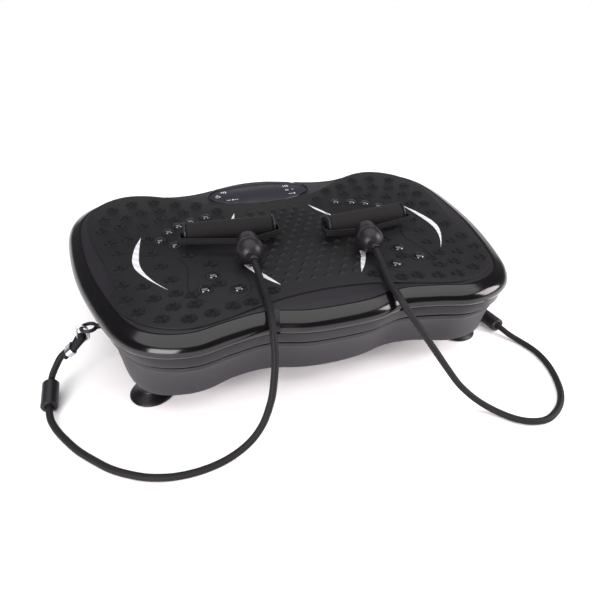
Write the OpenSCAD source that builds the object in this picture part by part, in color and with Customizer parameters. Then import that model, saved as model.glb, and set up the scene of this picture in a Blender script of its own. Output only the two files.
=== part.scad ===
// Seesaw vibration plate for standing exercise, with two pull ropes.
// Millimetres. +X is the long axis, +Y points to the display, +Z is up.
// The origin is on the floor, under the middle of the machine.

/* [Body] */
// Overall width across the back lobes
body_w = 530; // [500:5:560]
// Overall depth from the front lobes to the display bulge
body_d = 406; // [390:1:430]
// Height of the mat's surface above the floor
mat_z = 118; // [116:1:120]
// Height of the base shell's underside above the floor
base_z = 34; // [32:1:38]
// Wall thickness of the moulded shells
wall = 3; // [2.5:0.5:3.5]
// Gap between the base shell and the rocking deck
rock_gap = 3.5; // [3:0.5:5]

/* [Mat] */
// Thickness of the rubber mat
mat_t = 2; // [2:0.5:3]
// Radius of a massage dome
dome_r = 6; // [5:0.5:7]
// Height of a massage dome above the mat
dome_h = 4; // [3:0.5:5]

/* [Drive] */
// Height of the rocking axis and of the eccentric shaft
axle_z = 66; // [64:1:68]
// Distance from the rocking axis to the eccentric shaft
crank_x = 50; // [48:1:54]
// Throw of the eccentric
throw = 0.5; // [0.3:0.1:0.8]
// Teeth of the motor pulley
motor_teeth = 18; // [16:1:20]
// Teeth of the eccentric shaft's pulley
shaft_teeth = 36; // [32:1:38]

/* [Feet] */
// Radius of a suction foot at the floor
foot_r = 24; // [20:1:26]
// Sideways place of the front feet
foot_x = 190; // [184:1:194]

/* [Handles and ropes] */
// Rope diameter
rope_d = 7; // [6:0.5:8]
// Length of a foam grip
grip_l = 102; // [96:2:110]
// Outer radius of a foam grip
grip_r = 12; // [11:0.5:13]
// Radius of the round rope cap
cap_r = 15.5; // [14:0.5:17]

/* [Hidden] */
$fn = 48;

deck_top = mat_z - mat_t;
flange_z = 84.5;
skirt_top = flange_z - rock_gap;
roll_z = flange_z + 12;
floor_in = base_z + wall;
trim_t = 2;
pin_gap = 0.05;
frame_t = 2.5;
plate_z = 98;
tooth_pitch = 3;
rope_r = rope_d / 2;
rim_black = "#141315";
satin = "#39373b";
skirt_grey = "#454247";
rubber = "#2a282a";
steel = "#a8abb0";

// ---- outlines: right half from the front centre to the back centre, at the deck's widest line

sx = body_w / 530;
sy = body_d / 406;
rim_half = [[0, -201], [36, -199], [72, -190], [106, -195], [140, -203], [171, -198], [196, -183],
    [214, -158], [227, -125], [238, -90], [248, -52], [256, -10], [262, 36], [265, 80], [262, 116],
    [250, 148], [230, 171], [204, 185], [176, 189], [147, 182], [120, 174], [92, 176], [60, 188],
    [30, 199], [0, 203]];
base_half = [[0, -173], [34, -170], [70, -161], [104, -164], [137, -175], [165, -174],
    [188, -164], [203, -145], [212, -117], [218, -83], [224, -47], [229, -7], [234, 36], [235, 78],
    [232, 110], [222, 136], [206, 154], [184, 163], [162, 165], [138, 160], [116, 153], [90, 154],
    [58, 162], [29, 170], [0, 173]];
mat_half = [[0, -153], [44, -157], [80, -167], [112, -177], [141, -182], [168, -174], [190, -157],
    [206, -129], [212, -100], [213, -72], [217, -38], [226, 0], [236, 45], [241, 85], [239, 116],
    [230, 145], [212, 167], [188, 177], [160, 171], [132, 154], [104, 132], [76, 112], [40, 100],
    [0, 95]];

function scaled(p) = [p[0] * sx, p[1] * sy];
function whole(half) = let (n = len(half))
    concat([for (p = half) scaled(p)], [for (i = [n - 2:-1:1]) scaled([-half[i][0], half[i][1]])]);
function curve(p, q, r, s, t) = 0.5 * (2 * q + (r - p) * t + (2 * p - 5 * q + 4 * r - s) * t * t
    + (3 * q - p - 3 * r + s) * t * t * t);
function smooth(P, steps) = let (n = len(P)) [for (i = [0:n - 1]) for (k = [0:steps - 1])
    curve(P[(i + n - 1) % n], P[i], P[(i + 1) % n], P[(i + 2) % n], k / steps)];
function unit(v) = v / norm(v);
function moved_in(P, d) = let (n = len(P)) [for (i = [0:n - 1])
    let (t = unit(P[(i + 1) % n] - P[(i + n - 1) % n])) P[i] + d * [-t[1], t[0]]];
function at_z(P, z) = [for (p = P) [p[0], p[1], z]];

rim = smooth(whole(rim_half), 2);
base_line = smooth(whole(base_half), 2);
mat_outline = smooth(whole(mat_half), 2);

// A closed solid through rings of equal point count, lowest ring first
module skin(rings) {
    n = len(rings[0]);
    m = len(rings);
    sides = [for (j = [0:m - 2]) for (i = [0:n - 1]) let (a = j * n + i, b = j * n + (i + 1) % n)
        [a, a + n, b + n, b]];
    caps = [[for (i = [0:n - 1]) i], [for (i = [n - 1:-1:0]) (m - 1) * n + i]];
    polyhedron([for (r = rings) each r], concat(sides, caps), convexity = 6);
}

// The deck's edge roll: [height, distance inside the widest line]
roll = [[roll_z, 4.5], [deck_top - 16, 1], [deck_top - 12, 0], [deck_top - 8, 1.2],
    [deck_top - 4, 5], [deck_top - 1, 12], [deck_top, 15]];

// ---- swept tube for ropes: rings square to the path at each point

function along(P, i) = unit(i == 0 ? P[1] - P[0] : i == len(P) - 1 ? P[i] - P[i - 1]
    : unit(P[i + 1] - P[i]) + unit(P[i] - P[i - 1]));
function frames(P, i, up) = let (t = along(P, i), u = unit(up - (up * t) * t))
    i == len(P) - 1 ? [[t, u]] : concat([[t, u]], frames(P, i + 1, u));
module tube(P, r, up = [0, 0, 1]) {
    F = frames(P, 0, up);
    skin([for (i = [0:len(P) - 1]) [for (k = [0:9]) P[i]
        + r * (cos(36 * k) * F[i][1] + sin(36 * k) * cross(F[i][0], F[i][1]))]]);
}
// Places children at p, with their Z axis turned along v
module along_line(p, v) {
    translate(p) rotate([0, acos(v[2] / norm(v)), atan2(v[1], v[0])]) children();
}
module each_side() {
    children();
    mirror([1, 0, 0]) children();
}

// ---- rope and handle places, in round numbers

cap_left = [-65, -82, 135];
cap_turn_left = -8;
cap_turn_right = -15;
cap_right = [71, -95, 135];
grip_left = [-74, -15, 133.2];
grip_right = [91, -35, 133.2];
turn_left = -5;
turn_right = 6;
anchor_at = [-243, -81, 71];
link_at = [-250.5, -81, 64.95];
crimp_left = [-265, -86, 50.5];
crimp_right = [251, -81.5, 45.5];
adjust_left = [[-293, -90, 14], [-293, -123, 9]];
adjust_right = [[238, -108, 9], [241, -139, 9]];
eye_left = [[-272.2, -89.7, 45.1], [-269, -89.7, 47.5], [-261, -89.3, 53.5], [-256, -87.4, 57.4],
    [-252.2, -84.8, 59.9], [-250.5, -81, 60.6], [-252.2, -77.2, 59.9], [-256, -75.4, 57.4],
    [-261, -81.6, 53.5], [-269, -82.3, 47.5]];
eye_right = [[251, -77.8, 37], [251, -77.8, 41], [251, -77.8, 49.5], [250.7, -75.6, 54],
    [250.5, -77, 58.9], [250.5, -81, 60.9], [250.5, -85, 58.9], [250.7, -86.8, 54],
    [251, -85.2, 49.5], [251, -85.2, 41]];
route_left = [[-269, -82.3, 47.5], [-277, -83, 41.5], [-284, -85.6, 32], [-289.6, -87, 22.6],
    [-293, -90, 14], [-293, -106.5, 11.5], [-293, -123, 9], [-291, -138, 5.5], [-284, -154, 3.6],
    [-274, -171, 3.6], [-263, -187, 3.6], [-249, -203, 3.6], [-233, -219, 3.6], [-214, -232, 3.6],
    [-197, -240, 3.6], [-176, -245, 3.6], [-152, -245, 3.6], [-129, -241, 5.5], [-108, -237, 15],
    [-93, -233, 31], [-83, -228, 53], [-78, -222, 72], [-74.5, -215, 91], [-73, -206, 108],
    [-71.5, -196, 117], [-69.5, -182, 121.5], [-67, -160, 122.5], [-65.5, -138, 123.5],
    [-64.5, -119, 126], [-64.6, -99.5, 130.8]];
route_right = [[251, -85.2, 41], [251, -85.5, 31], [251, -87, 18], [246, -95, 10.5], [238, -108, 9],
    [239.5, -123.5, 9], [241, -139, 9], [246, -155, 5.5], [252, -170, 3.6], [256, -188, 3.6],
    [255.5, -205, 3.6], [251, -224, 3.6], [243, -243, 3.6], [233, -260, 3.6], [221, -273, 3.6],
    [206, -283, 3.6], [190, -288.5, 3.6], [174, -286, 3.6], [160, -277.5, 3.6], [146, -262, 5],
    [132, -249, 12],
    [118, -238, 25], [106, -231, 42], [89, -220, 69], [76, -211, 90], [65, -201, 108],
    [60, -191, 117.5], [59, -174, 121.5], [63, -153, 122.5], [68, -132, 125],
    [70.7, -112.4, 130.8]];

// ---- base

// The skirt runs from the rim's line at the top to its own line at the floor: [height, share]
skirt = [[base_z, 0], [base_z + 2.5, 0], [base_z + 18, 0.28], [base_z + 32, 0.62],
    [base_z + 40, 0.84], [base_z + 42.5, 0.95], [skirt_top, 1]];
function skirt_line(share) = let (top = moved_in(rim, 10))
    [for (i = [0:len(rim) - 1]) share * top[i] + (1 - share) * base_line[i]];
foot_places = [[foot_x, -121], [-foot_x, -121], [204, 124], [-204, 124]];
panel_w = 72;
panel_y = 176;
screw_places = [[150, -120], [-150, -120], [160, 120], [-160, 120], [0, -140], [60, 140]];
bracket_y = 86;
frame_w = 340;
frame_d = 220;

function inner_skirt(s) = at_z(moved_in(skirt_line(s[1]), s[0] < floor_in ? wall + 2 : wall),
    max(s[0], floor_in));
module bottom_shell() color(skirt_grey) difference() {
    skin(concat([for (s = skirt) at_z(moved_in(skirt_line(s[1]), s[0] == base_z ? 2 : 0), s[0])],
        [for (i = [len(skirt) - 1:-1:1]) inner_skirt(skirt[i])]));
    translate([-panel_w / 2, panel_y - 30, 42]) cube([panel_w, 60, 31]);
    for (p = foot_places) translate([p[0], p[1], base_z - 1]) cylinder(r = 4.2, h = wall + 2);
    for (p = screw_places) translate([p[0], p[1], base_z - 1]) cylinder(r = 2.2, h = wall + 2);
    each_side() translate(anchor_at) rotate([0, 90, 0]) cylinder(r = 3, h = 40);
}

module base_frame() color(steel) translate([0, 0, floor_in]) difference() {
    union() {
        translate([-frame_w / 2, -frame_d / 2, 0]) cube([frame_w, frame_d, frame_t]);
        for (y = [-frame_d / 2, frame_d / 2 - frame_t])
            translate([-frame_w / 2, y, 0]) cube([frame_w, frame_t, 16]);
    }
    for (x = [-90, -150, 150]) translate([x, 0, -1]) cylinder(r = 22, h = frame_t + 2);
}

module pivot_brackets() color(steel) for (y = [-bracket_y, bracket_y]) difference() {
    union() {
        translate([-26, y - 3, floor_in + frame_t]) cube([52, 6, axle_z - floor_in - frame_t]);
        translate([0, y + 3, axle_z]) rotate([90, 0, 0]) cylinder(r = 14, h = 6);
        translate([-26, y - 12, floor_in + frame_t]) cube([52, 24, 3]);
    }
    translate([0, y + 4, axle_z]) rotate([90, 0, 0]) cylinder(r = 8 + pin_gap, h = 8);
}

module pivot_shaft() color("#8d9096") translate([0, bracket_y + 8, axle_z]) rotate([90, 0, 0])
    cylinder(r = 8, h = 2 * bracket_y + 16);

module bump_stops() color(rubber) for (x = [-150, 150]) for (y = [-78, 78])
    translate([x, y, floor_in + frame_t]) rotate_extrude()
        polygon([[0, 0], [14, 0], [14, 4], [10, 8], [10, 44], [12, 48], [12, 54], [9, 56.5],
            [0, 56.5]]);

motor_x = crank_x + 62;
motor_r = 22;
pulley_y = 62;
motor_z = axle_z;
module motor_mount() color(steel) difference() {
    union() {
        translate([motor_x - 26, 34, floor_in + frame_t]) cube([52, 3, motor_z - floor_in + 16]);
        translate([motor_x - 26, 10, floor_in + frame_t]) cube([52, 27, 3]);
    }
    translate([motor_x, 40, motor_z]) rotate([90, 0, 0]) cylinder(r = 9 + pin_gap, h = 10);
}

module motor() color("#5b5e64") translate([motor_x, 34, motor_z]) rotate([90, 0, 0])
    rotate_extrude() polygon([[4.2, -3], [9, -3], [9, 0], [motor_r, 0], [motor_r, 74], [18, 80],
        [0, 80], [0, 60], [4.2, 60]]);

function pulley_r(teeth) = teeth * tooth_pitch / (2 * PI);
module pulley_body(teeth, bore) difference() {
    union() {
        cylinder(r = pulley_r(teeth), h = 12);
        for (z = [-1.5, 12]) translate([0, 0, z]) cylinder(r = pulley_r(teeth) + 2, h = 1.5);
    }
    translate([0, 0, -2]) cylinder(r = bore, h = 16);
}
module motor_pulley() color("#c9ccd1") translate([motor_x, pulley_y, motor_z])
    rotate([90, 0, 0]) {
        pulley_body(motor_teeth, 4);
        translate([0, 0, -2]) cylinder(r = 4, h = 80);
    }

// The belt is a loop of two half rings and two straight runs, drawn flat and stood up
module belt_outline(grow) {
    r1 = pulley_r(motor_teeth) + grow;
    r2 = pulley_r(shaft_teeth) + grow;
    d = motor_x - crank_x;
    a = acos((r2 - r1) / d);
    polygon(concat([for (t = [a:(360 - 2 * a) / 24:360 - a]) [r2 * cos(t), r2 * sin(t)]],
        [for (t = [-a:2 * a / 16:a]) [d + r1 * cos(t), r1 * sin(t)]]));
}
module drive_belt() color("#1c1c1e") translate([crank_x, pulley_y - 1.5, axle_z])
    rotate([90, 0, 0]) linear_extrude(9) difference() {
        belt_outline(1.8);
        belt_outline(0.15);
    }

module shaft_pulley() color("#c9ccd1") translate([crank_x, pulley_y, axle_z])
    rotate([90, 0, 0]) pulley_body(shaft_teeth, 6);

module eccentric_shaft() color("#8d9096") translate([crank_x, 66, axle_z]) rotate([90, 0, 0]) {
    cylinder(r = 6, h = 116);
    translate([throw, 0, 58]) cylinder(r = 10, h = 16);
}

bearing_y = [36, -36];
module bearing_blocks() color(steel) for (y = bearing_y) difference() {
    translate([crank_x - 20, y - 5, floor_in + frame_t])
        cube([40, 10, axle_z - floor_in - frame_t + 16]);
    translate([crank_x, y + 6, axle_z]) rotate([90, 0, 0]) cylinder(r = 12, h = 12);
}
module ball_bearings() color("#d5d7da") for (y = bearing_y) difference() {
    translate([crank_x, y + 5, axle_z]) rotate([90, 0, 0]) cylinder(r = 12, h = 10);
    translate([crank_x, y + 6, axle_z]) rotate([90, 0, 0]) cylinder(r = 6 + pin_gap, h = 12);
}

module control_board() color("#1f5a3a") {
    translate([-160, -50, floor_in + 8]) difference() {
        cube([70, 100, 1.6]);
        for (p = [[5, 5], [65, 5], [5, 95], [65, 95]])
            translate([p[0], p[1], -1]) cylinder(r = 1.6, h = 4);
    }
    for (p = [[-155, -45], [-95, -45], [-155, 45], [-95, 45]])
        translate([p[0], p[1], floor_in + frame_t]) cylinder(r = 1.55, h = 10);
    translate([-150, -20, floor_in + 9.6]) cube([24, 24, 20]);
    translate([-115, 10, floor_in + 9.6]) cube([12, 26, 22]);
    for (y = [-30, -8]) translate([-106, y, floor_in + 9.6]) cylinder(r = 7, h = 20);
}

panel_z = 42;
panel_h = 31;
inlet_x = -16;
switch_x = 19;
switch_z = panel_z + panel_h / 2;
module rear_panel() color(rim_black) difference() {
    translate([-panel_w / 2, panel_y - 14, panel_z]) cube([panel_w, 14, panel_h]);
    translate([inlet_x - 14, panel_y - 15, switch_z - 10]) cube([28, 16, 20]);
    translate([switch_x - 7, panel_y - 12, switch_z - 10]) cube([14, 13, 20]);
    translate([switch_x - 10, panel_y - 8, switch_z]) rotate([0, 90, 0]) cylinder(r = 1.5, h = 20);
}
module power_inlet() color("#232325") {
    difference() {
        translate([inlet_x - 14, panel_y - 26, switch_z - 10]) cube([28, 26, 20]);
        translate([inlet_x - 11, panel_y - 18, switch_z - 7]) cube([22, 19, 14]);
    }
    for (x = [-4, 4]) translate([inlet_x + x, panel_y - 4, switch_z]) rotate([90, 0, 0])
        cylinder(r = 1.2, h = 16);
}
module switch_rocker() color("#b3262b") translate([switch_x, panel_y - 8, switch_z]) {
    difference() {
        rotate([-8, 0, 0]) translate([-6.5, -3, -7.8]) cube([13, 11, 15.6]);
        translate([-8, -8, -14]) cube([16, 6.4, 28]);
    }
    translate([-9.5, 0, 0]) rotate([0, 90, 0]) cylinder(r = 1.45, h = 19);
}

module case_screws() color(steel) for (p = screw_places)
    translate([p[0], p[1], base_z]) rotate_extrude()
        polygon([[0, -2], [4, -2], [4, 0], [2.1, 0], [2.1, wall + 6], [0, wall + 8]]);

module suction_feet() color("#18181a") for (p = foot_places) translate([p[0], p[1], 0])
    difference() {
        rotate_extrude() polygon([[0, 4], [12, 3], [21, 0], [foot_r - 1, 0], [foot_r, 1],
            [foot_r - 1.5, 3], [16, 7], [12.5, 10], [12.5, 15], [9, 17], [9, base_z],
            [0, base_z]]);
        translate([0, 0, 12]) cylinder(r = 4, h = 40);
    }
module foot_bolts() color(steel) for (p = foot_places) translate([p[0], p[1], 0]) {
    translate([0, 0, 12]) cylinder(r = 4, h = base_z + wall - 12);
    translate([0, 0, base_z + wall]) cylinder(r = 7.5, h = 5, $fn = 6);
}

// A black eye on a stalk through the shell on each side, and the steel link that hangs in it
module rope_anchors() color(rim_black) each_side() translate(anchor_at) {
    rotate_extrude() translate([7.5, 0]) circle(r = 2);
    difference() {
        translate([6, 0, 0]) rotate([0, 90, 0]) cylinder(r = 3, h = 22);
        translate([0, 0, -4]) cylinder(r = 7.5, h = 8);
    }
    translate([24, 0, 0]) rotate([0, 90, 0]) cylinder(r = 7, h = 3);
}
link_r = 5.4;
module rope_links() color("#d9dbdf") each_side() translate(link_at) {
    for (x = [-link_r, link_r]) translate([x, 0, -4]) cylinder(r = 1.3, h = 8);
    for (s = [1, -1]) translate([0, 0, 4 * s]) rotate([90 * s, 0, 0])
        rotate_extrude(angle = 180) translate([link_r, 0]) circle(r = 1.3);
}

// ---- deck, which rocks on the pivot shaft

lug_y = 66;
pin_z = 88;
module deck_frame() color(steel) difference() {
    union() {
        translate([-170, -95, plate_z]) cube([340, 190, frame_t]);
        for (y = [-lug_y, lug_y]) {
            translate([-20, y - 4, axle_z]) cube([40, 8, plate_z - axle_z]);
            translate([0, y + 4, axle_z]) rotate([90, 0, 0]) cylinder(r = 18, h = 8);
        }
        for (y = [-9, 5]) translate([crank_x - 7, y, pin_z - 6]) cube([14, 4, plate_z - pin_z + 6]);
    }
    for (y = [-lug_y, lug_y]) translate([0, y + 5, axle_z]) rotate([90, 0, 0])
        cylinder(r = 12, h = 10);
    translate([crank_x, 10, pin_z]) rotate([90, 0, 0]) cylinder(r = 3, h = 20);
    for (p = deck_screw_places) translate([p[0], p[1], plate_z - 1]) cylinder(r = 2, h = 6);
}
deck_screw_places = [[125, -80], [-125, -80], [125, 80], [-125, 80]];
module pivot_bushes() color("#b08d4f") for (y = [-lug_y, lug_y]) difference() {
    translate([0, y + 4, axle_z]) rotate([90, 0, 0]) cylinder(r = 12, h = 8);
    translate([0, y + 5, axle_z]) rotate([90, 0, 0]) cylinder(r = 8 + pin_gap, h = 10);
}
module deck_screws() color(steel) for (p = deck_screw_places) translate([p[0], p[1], 0]) {
    translate([0, 0, plate_z - 3]) cylinder(r = 4, h = 3);
    translate([0, 0, plate_z]) cylinder(r = 2, h = deck_top - wall - plate_z);
}
module con_rod_pin() color("#8d9096") translate([crank_x, 9, pin_z]) rotate([90, 0, 0])
    cylinder(r = 3, h = 18);
module con_rod() color("#7f8288") difference() {
    union() {
        translate([crank_x, 4, axle_z]) rotate([90, 0, 0]) cylinder(r = 14.5, h = 8);
        translate([crank_x - 5, -4, axle_z + 12]) cube([10, 8, pin_z - axle_z - 12]);
        translate([crank_x, 4, pin_z]) rotate([90, 0, 0]) cylinder(r = 6, h = 8);
    }
    translate([crank_x, 5, axle_z]) rotate([90, 0, 0]) cylinder(r = 10 + 3.4 * throw, h = 10);
    translate([crank_x, 5, pin_z]) rotate([90, 0, 0]) cylinder(r = 3 + pin_gap, h = 10);
}

display_c = [0, 141];
display_a = 77;
display_b = 41;
function oval(a, b, n = 72) = [for (i = [0:n - 1]) [a * cos(360 * i / n), b * sin(360 * i / n)]];
module oval_prism(grow, low, high) translate([display_c[0], display_c[1], low])
    linear_extrude(high - low) polygon(oval(display_a + grow, display_b + grow));

// Moulded top: thin flange round the foot, a ledge for the trims, then the roll under them
under_trim = trim_t + 0.8;
module top_cover() color(satin) difference() {
    skin(concat([at_z(moved_in(rim, 26), deck_top - wall), at_z(moved_in(rim, 14), deck_top - 8),
        at_z(moved_in(rim, 16), flange_z), at_z(moved_in(rim, 12), flange_z),
        at_z(moved_in(rim, 6), flange_z + 1), at_z(moved_in(rim, 4.5), roll_z)],
        [for (r = roll) at_z(moved_in(rim, r[1] + under_trim), r[0])]));
    oval_prism(-5, deck_top - 10, deck_top + 1);
}

// A glossy moulding along part of the rim: its cross-section, carried round the outline
function rim_at(u) = let (P = whole(rim_half), n = len(P), i = floor(u))
    curve(P[(i + n - 1) % n], P[(i + n) % n], P[(i + n + 1) % n], P[(i + n + 2) % n], u - i);
function trim_section(u) = let (p = rim_at(u), t = unit(rim_at(u + 0.01) - rim_at(u - 0.01)),
    q = concat(roll, [for (i = [len(roll) - 1:-1:0]) roll[i] + [0, trim_t]]))
    [for (r = q) [p[0] - t[1] * r[1], p[1] + t[0] * r[1], r[0]]];
module trim(from, to, steps) skin([for (k = [0:steps])
    trim_section(from + (to - from) * k / steps)]);
// Where the dark grooves beside the two bulges start and end, in points along the outline
front_end = 1.74;
side_start = 1.93;
side_end = 21.7;
rear_start = 21.92;
module front_trim() color(rim_black) trim(-front_end, front_end, 8);
module right_trim() color(rim_black) trim(side_start, side_end, 38);
module rear_trim() color(rim_black) trim(rear_start, 48 - rear_start, 9);
module left_trim() color(rim_black) trim(48 - side_end, 48 - side_start, 38);

dome_half = [[92, 64], [113, 56], [129.5, 46], [143, 31], [155, 8], [139, -9], [109, -95],
    [121.5, -121], [88.5, -129]];
function both(P) = concat(P, [for (p = P) [-p[0], p[1]]]);
arrow_out = [[176, 26], [187, -30], [188, -44], [184, -58], [157, -109], [178, -62], [181, -45],
    [180, -30]];
arrow_in = [[52, 68], [72, 20], [84, -28], [83, -44], [76, -80], [45, -134], [68, -84], [75, -46],
    [75, -30], [66, 18]];
module arrows(low, high) each_side() translate([0, 0, low]) linear_extrude(high - low) {
    polygon(arrow_out);
    polygon(arrow_in);
}
module rubber_mat() color(rubber) difference() {
    translate([0, 0, deck_top]) linear_extrude(mat_t) polygon(mat_outline);
    for (p = both(dome_half)) translate([p[0], p[1], deck_top - 1])
        cylinder(r = dome_r - 1.5, h = mat_t + 2);
    arrows(mat_z - 1, mat_z + 1);
}
module massage_domes() color("#0d0d10") for (p = both(dome_half))
    translate([p[0], p[1], 0]) rotate_extrude()
        polygon([[0, deck_top], [dome_r - 1.5, deck_top], [dome_r - 1.5, mat_z], [dome_r, mat_z],
            [dome_r - 0.4, mat_z + 1.4], [dome_r - 1.8, mat_z + 2.9], [dome_r - 3.8, mat_z + 3.8],
            [0, mat_z + dome_h]]);
module arrow_inlays() color("#dcdce4") arrows(mat_z - 1, mat_z);

module display_bezel() color("#0a0a0b") difference() {
    union() {
        oval_prism(0, deck_top, deck_top + 1.2);
        oval_prism(-5, deck_top - 6, deck_top);
    }
    oval_prism(-8, deck_top - 7, deck_top + 2);
}
module display_window() color("#1b1b22") oval_prism(-8, deck_top - 4, deck_top + 0.6);
module display_board() color("#1f5a3a") {
    translate([-55, 118, deck_top - 9.4]) cube([110, 46, 1.6]);
    translate([-25, 126, deck_top - 7.8]) cube([50, 30, 3.4]);
}

// ---- handles, which lie on the mat and lift off it

core_r = 8;
ring_w = 3;
half_grip = grip_l / 2;
module on_grip(c, turn) translate(c) rotate([0, 0, turn]) rotate([0, 90, 0]) children();
module foam(c, turn) color("#2c2a2a") on_grip(c, turn) difference() {
    rotate_extrude() polygon([[0, -half_grip], [grip_r - 2, -half_grip], [grip_r, 3 - half_grip],
        [grip_r, half_grip - 3], [grip_r - 2, half_grip], [0, half_grip]]);
    translate([0, 0, -half_grip - 1]) cylinder(r = core_r, h = grip_l + 2);
}
module core(c, turn) color("#1d1d1f") on_grip(c, turn) difference() {
    translate([0, 0, -half_grip - ring_w]) cylinder(r = core_r, h = grip_l + 2 * ring_w);
    translate([0, 0, -half_grip - ring_w - 1]) cylinder(r = 6, h = grip_l + 2 * ring_w + 2);
}
module end_rings(c, turn) color("#3a3a3d") on_grip(c, turn) for (s = [0, 1])
    mirror([0, 0, s]) translate([0, 0, half_grip]) difference() {
        rotate_extrude() polygon([[0, 0], [grip_r + 1, 0], [grip_r + 1, 1.5], [grip_r, ring_w],
            [0, ring_w]]);
        translate([0, 0, -1]) cylinder(r = core_r, h = ring_w + 2);
    }
// Webbing through the core, turned forward outside both ends and gathered at the rope cap
strap_t = 2.4;
strap_h = 6;
function gather_at(cap, turn, d) = [cap[0], cap[1]] + (cap_r + d) * [-sin(turn), cos(turn)];
module strap(c, turn, cap, cap_turn) color("#19191a") {
    at = [c[0], c[1]];
    side = (half_grip + ring_w + 4) * [cos(turn), sin(turn)];
    front = 17 * [sin(turn), -cos(turn)];
    loop = [at + side, at - side, at - side + front, gather_at(cap, cap_turn, 18),
        at + side + front];
    translate([0, 0, c[2] - 2.2 - strap_h / 2]) linear_extrude(strap_h) {
        difference() {
            offset(delta = strap_t / 2) polygon(loop);
            offset(delta = -strap_t / 2) polygon(loop);
        }
        translate(gather_at(cap, cap_turn, 6)) rotate(cap_turn)
            translate([-strap_t / 2, 0]) square([strap_t, 12]);
    }
}
// Round cap: ball, neck behind it for the webbing, and a small collar where the rope goes in
neck_r = 11.5;
module rope_cap(c, turn, exit) color("#1b1b1d") {
    translate(c) rotate([0, 0, turn]) difference() {
        union() {
            sphere(r = cap_r);
            translate([0, cap_r + 12.5, 0]) rotate([90, 0, 0]) cylinder(r = neck_r, h = 9);
            translate([0, cap_r + 6, 0]) rotate([90, 0, 0]) cylinder(r = 9, h = 10);
        }
        translate([-5, cap_r + 5, -9]) cube([10, 8, 14]);
    }
    along_line(c, exit - c) cylinder(r = 5.5, h = norm(exit - c) - 0.6);
}
function last(P) = P[len(P) - 1];
exit_left = last(route_left);
exit_right = last(route_right);

module left_grip() foam(grip_left, turn_left);
module left_core() core(grip_left, turn_left);
module left_end_rings() end_rings(grip_left, turn_left);
module left_strap() strap(grip_left, turn_left, cap_left, cap_turn_left);
module left_rope_cap() rope_cap(cap_left, cap_turn_left, exit_left);
module right_grip() foam(grip_right, turn_right);
module right_core() core(grip_right, turn_right);
module right_end_rings() end_rings(grip_right, turn_right);
module right_strap() strap(grip_right, turn_right, cap_right, cap_turn_right);
module right_rope_cap() rope_cap(cap_right, cap_turn_right, exit_right);

// ---- ropes

module left_rope() color("#161617") tube(route_left, rope_r);
module right_rope() color("#161617") tube(route_right, rope_r);

// The rope's end turns back on itself through the steel link, and a crimp holds both strands
strand = 3.7;
module left_rope_eye() color("#161617") tube(eye_left, rope_r);
module right_rope_eye() color("#161617") tube(eye_right, rope_r, [1, 0, 0]);
module stadium(r) {
    for (y = [-strand, strand]) translate([0, y]) circle(r = r);
    square([2 * r, 2 * strand], center = true);
}
module crimp(c, dir) color("#d9dbdf") along_line(c - 3.5 * dir, dir) linear_extrude(7)
    difference() {
        stadium(rope_r + 1.5);
        stadium(rope_r + 0.6);
    }
module left_crimp() crimp(crimp_left, [-0.8, 0, -0.6]);
module right_crimp() crimp(crimp_right, [0, 0, -1]);
module adjuster(ends) color("#141415") let (l = norm(ends[1] - ends[0]))
    along_line(ends[0], ends[1] - ends[0]) rotate_extrude()
        polygon([[4.6, 0], [7.5, 0], [8.5, 1.5], [8.5, l - 1.5], [7.5, l], [4.6, l]]);

module left_adjuster() adjuster(adjust_left);
module right_adjuster() adjuster(adjust_right);

bottom_shell();
base_frame();
pivot_brackets();
pivot_shaft();
bump_stops();
motor_mount();
motor();
motor_pulley();
drive_belt();
shaft_pulley();
eccentric_shaft();
bearing_blocks();
ball_bearings();
control_board();
rear_panel();
power_inlet();
switch_rocker();
case_screws();
suction_feet();
foot_bolts();
rope_anchors();
rope_links();
deck_frame();
pivot_bushes();
deck_screws();
con_rod();
con_rod_pin();
top_cover();
left_trim();
right_trim();
front_trim();
rear_trim();
rubber_mat();
massage_domes();
arrow_inlays();
display_bezel();
display_window();
display_board();
left_grip();
left_core();
left_end_rings();
left_strap();
left_rope_cap();
right_grip();
right_core();
right_end_rings();
right_strap();
right_rope_cap();
left_rope();
left_rope_eye();
left_crimp();
left_adjuster();
right_rope();
right_rope_eye();
right_crimp();
right_adjuster();
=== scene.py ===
"""Looks of the vibration plate: every visible surface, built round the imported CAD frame.
"""

import logging
import math
from dataclasses import dataclass, field
from enum import Enum
from typing import Sequence

import bpy
import numpy as np
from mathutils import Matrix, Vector

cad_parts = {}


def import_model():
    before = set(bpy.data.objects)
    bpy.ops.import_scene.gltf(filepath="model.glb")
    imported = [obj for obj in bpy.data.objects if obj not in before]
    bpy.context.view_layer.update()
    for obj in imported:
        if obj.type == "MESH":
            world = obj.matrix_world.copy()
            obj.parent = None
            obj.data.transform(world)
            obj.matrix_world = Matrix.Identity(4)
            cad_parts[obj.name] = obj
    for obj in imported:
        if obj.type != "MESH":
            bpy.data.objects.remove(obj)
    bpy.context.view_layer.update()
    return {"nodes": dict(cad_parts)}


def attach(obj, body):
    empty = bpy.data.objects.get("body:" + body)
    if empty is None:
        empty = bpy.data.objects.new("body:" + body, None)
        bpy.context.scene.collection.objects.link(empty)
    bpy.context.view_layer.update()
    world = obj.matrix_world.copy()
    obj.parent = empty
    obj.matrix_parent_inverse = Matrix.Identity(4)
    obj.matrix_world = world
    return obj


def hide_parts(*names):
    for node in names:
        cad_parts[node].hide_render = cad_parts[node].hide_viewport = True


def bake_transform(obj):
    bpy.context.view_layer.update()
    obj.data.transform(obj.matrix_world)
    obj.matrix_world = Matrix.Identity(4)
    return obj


log = logging.getLogger("vibration_plate")
MM = 0.001


# ---- finishes ---------------------------------------------------------------------------------


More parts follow.
